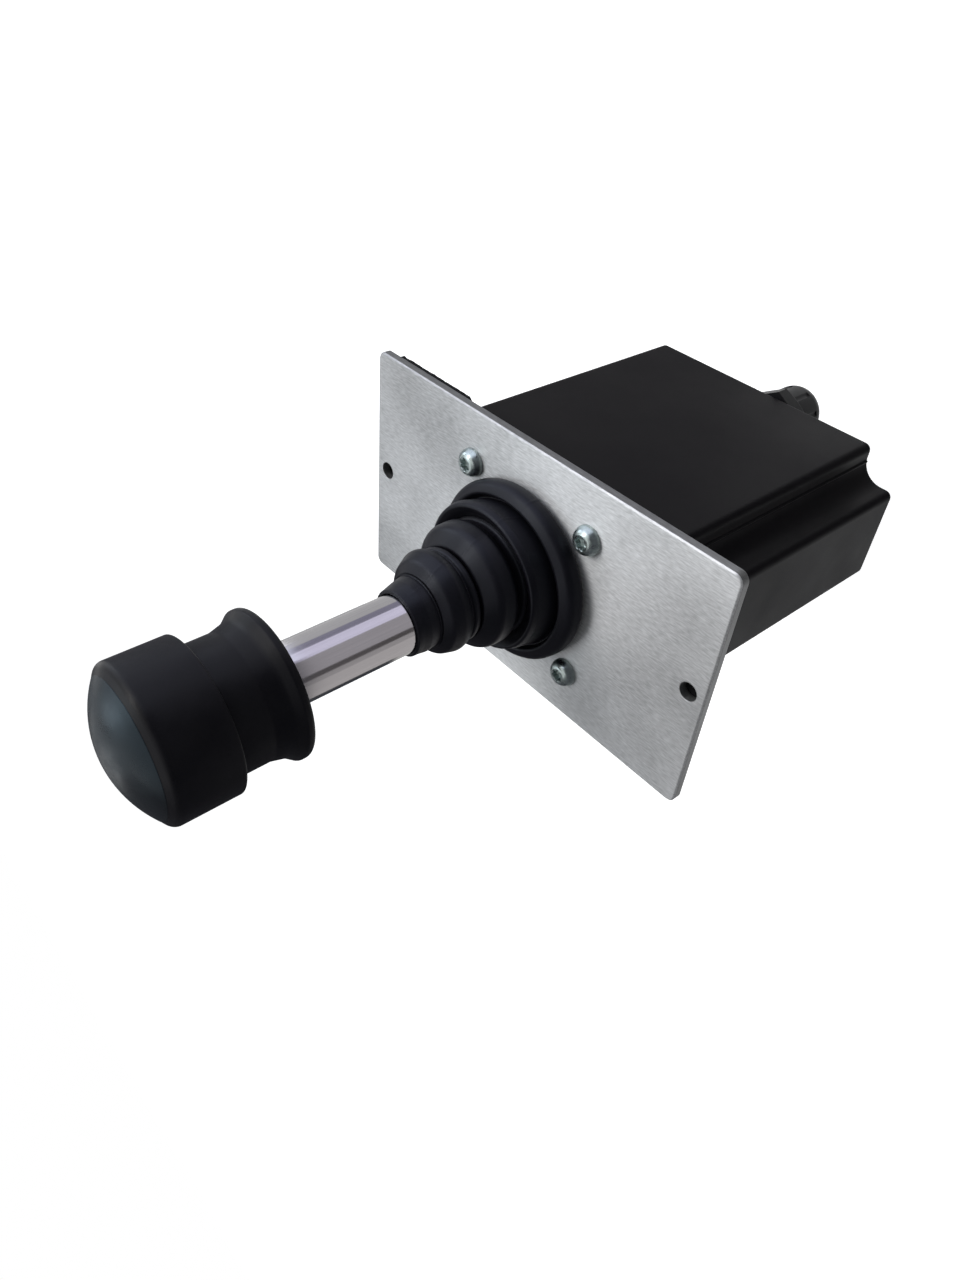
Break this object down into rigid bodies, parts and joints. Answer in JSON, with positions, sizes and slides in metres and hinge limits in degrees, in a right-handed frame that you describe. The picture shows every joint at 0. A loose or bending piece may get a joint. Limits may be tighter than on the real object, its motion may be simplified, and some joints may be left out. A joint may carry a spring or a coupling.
{
  "type": "industrial joystick",
  "caption": "Panel-mount single-axis industrial joystick: steel lever with domed knob and pull-up release collar, rubber bellows, aluminium plate and a stepped black housing behind it",
  "frame": {"origin": "centre of the mounting plate's rear face, on the lever's axis, which is also the centre of the two panel holes", "axes": "+Z along the lever from the plate to the knob, +X along the plate's long side and the lever's swing, +Y along the plate's short side towards the side with the gland"},
  "size_m": [0.13, 0.0743, 0.2442],
  "materials": {
    "plate": "brushed, clear anodised",
    "rubber": "moulded, matt",
    "zinc": "zinc plated",
    "tube": "polished",
    "grip": "fine matt",
    "cover": "fine matt",
    "frame": "bright zinc plated sheet",
    "casting": "die cast",
    "hard_steel": "hardened, oiled",
    "spring_steel": "drawn wire",
    "bronze": "sintered bronze",
    "brass": "turned brass",
    "white_plastic": "natural acetal",
    "sensor_case": "moulded",
    "board": "glass laminate with green resist",
    "terminal": "moulded"
  },
  "bodies": {
    "base": {"mounting_plate": "plate", "panel_gasket": "rubber", "plate_screws": "zinc", "clinch_nuts": "zinc", "boot": "rubber", "cheek_upper": "frame", "cheek_lower": "frame", "spacer_bars": "frame", "stop_bar": "hard_steel", "pivot_bushes": "bronze", "lock_gate": "hard_steel", "gate_screws": "zinc", "spring_anchor": "hard_steel", "centring_spring": "spring_steel", "sensor_bush": "bronze", "sensor_body": "sensor_case", "sensor_nut": "zinc", "rear_bracket": "frame", "bracket_screws": "zinc", "board_standoffs": "white_plastic", "circuit_board": "board", "terminal_block": "terminal", "cover_posts": "zinc", "housing_cover": "cover", "cover_screws": "zinc", "gland_ring": "rubber", "gland_body": "grip", "gland_seal": "rubber", "gland_nut": "grip"},
    "lever": {"lever_tube": "tube", "lever_block": "casting", "pivot_circlips": "spring_steel", "tube_pins": "hard_steel", "gear_sector": "hard_steel", "sector_screws": "zinc", "rod_guide": "white_plastic", "tube_plug": "frame", "knob_insert": "brass", "knob_cap": "grip", "collar_spring": "spring_steel"},
    "collar": {"release_collar": "grip", "cross_pin": "hard_steel", "lock_rod": "frame", "lock_pin": "hard_steel"},
    "sensor": {"sensor_pinion": "white_plastic", "sensor_shaft": "frame"}
  },
  "joints": [
    {"name": "lever_tilt", "type": "hinge", "parent": "base", "child": "lever", "pos_m": [0, 0, -0.024], "axis": [0, 1, 0], "range_deg": [-22, 22], "stiffness_Nm_per_rad": 2.5, "deforming": ["boot", "centring_spring"]},
    {"name": "collar_lift", "type": "slide", "parent": "lever", "child": "collar", "axis": [0, 0, 1], "range_m": [0, 0.006], "stiffness_N_per_m": 800, "springref_m": -0.005, "deforming": ["collar_spring"]},
    {"name": "sensor_turn", "type": "hinge", "parent": "base", "child": "sensor", "pos_m": [0, 0, -0.074], "axis": [0, 1, 0], "range_deg": [-88, 88]}
  ],
  "couplings": [
    {"joint": "sensor_turn", "follows": "lever_tilt", "ratio": -4}
  ]
}
